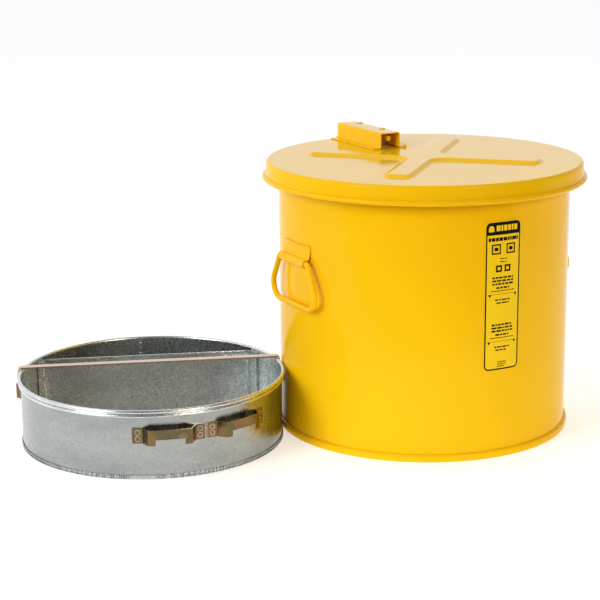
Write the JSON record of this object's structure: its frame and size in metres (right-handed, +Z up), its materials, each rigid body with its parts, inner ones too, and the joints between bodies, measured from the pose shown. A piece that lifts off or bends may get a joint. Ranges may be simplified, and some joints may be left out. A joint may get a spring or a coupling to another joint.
{
  "type": "parts-cleaning wash tank with drain basket",
  "caption": "Round yellow steel wash tank with a hinged self-closing lid and drop handles, and a galvanised mesh-floored drain basket standing beside it.",
  "frame": {"origin": "on the floor, at the middle of the footprint box of the tank and the basket together", "axes": "+Z up, +X from the basket towards the tank, +Y away from the tank's labelled side; the tank's front faces 28.5 degrees right of -Y"},
  "size_m": [0.79, 0.4962, 0.3945],
  "materials": {
    "paint": "glossy yellow baked enamel",
    "galvanised": "galvanised sheet with fine spangle",
    "zinc": "yellow-chromate zinc plate, slightly iridescent",
    "mesh": "dull galvanised woven wire",
    "label": null,
    "brass": "plain brass",
    "steel": "bright drawn steel"
  },
  "bodies": {
    "tank": {"tank_shell": "paint", "tank_bottom": "paint", "bottom_chime": "paint", "level_label": "label", "drain_ledge_1": "paint", "drain_ledge_2": "paint", "drain_ledge_3": "paint", "hinge_bracket": "paint", "hinge_pin": "steel", "handle_plate_left": "paint", "handle_plate_right": "paint"},
    "lid": {"lid_panel": "paint", "lid_channel": "paint", "lid_hinge_leaf": "paint", "hold_open_rod": "paint", "rod_guide_front": "steel", "rod_guide_rear": "steel", "link_plate_rod": "brass", "link_plate_post": "brass", "link_pin": "steel", "link_post": "steel"},
    "left_handle": {"drop_handle_left": "paint"},
    "right_handle": {"drop_handle_right": "paint"},
    "basket": {"basket_shell": "galvanised", "basket_mesh_floor": "mesh", "partition_plate": "galvanised", "carry_strap": "zinc", "hanger_1": "zinc", "hanger_2": "zinc", "hanger_3": "zinc", "hanger_spare": "zinc"}
  },
  "joints": [
    {"name": "lid_hinge", "type": "hinge", "parent": "tank", "child": "lid", "pos_m": [0.06147, 0.22937, 0.36], "axis": [-0.8788, -0.4772, 0], "range_deg": [0, 85]},
    {"name": "left_handle_hinge", "type": "hinge", "parent": "tank", "child": "left_handle", "pos_m": [-0.00802, -0.07291, 0.2515], "axis": [-0.4772, 0.8788, 0], "range_deg": [0, 160]},
    {"name": "right_handle_hinge", "type": "hinge", "parent": "tank", "child": "right_handle", "pos_m": [0.35283, 0.12301, 0.2515], "axis": [0.4772, -0.8788, 0], "range_deg": [0, 160]},
    {"name": "basket_lift", "type": "slide", "parent": "tank", "child": "basket", "axis": [-0.6911, -0.1494, 0.7071], "range_m": [0, 0.3]}
  ]
}
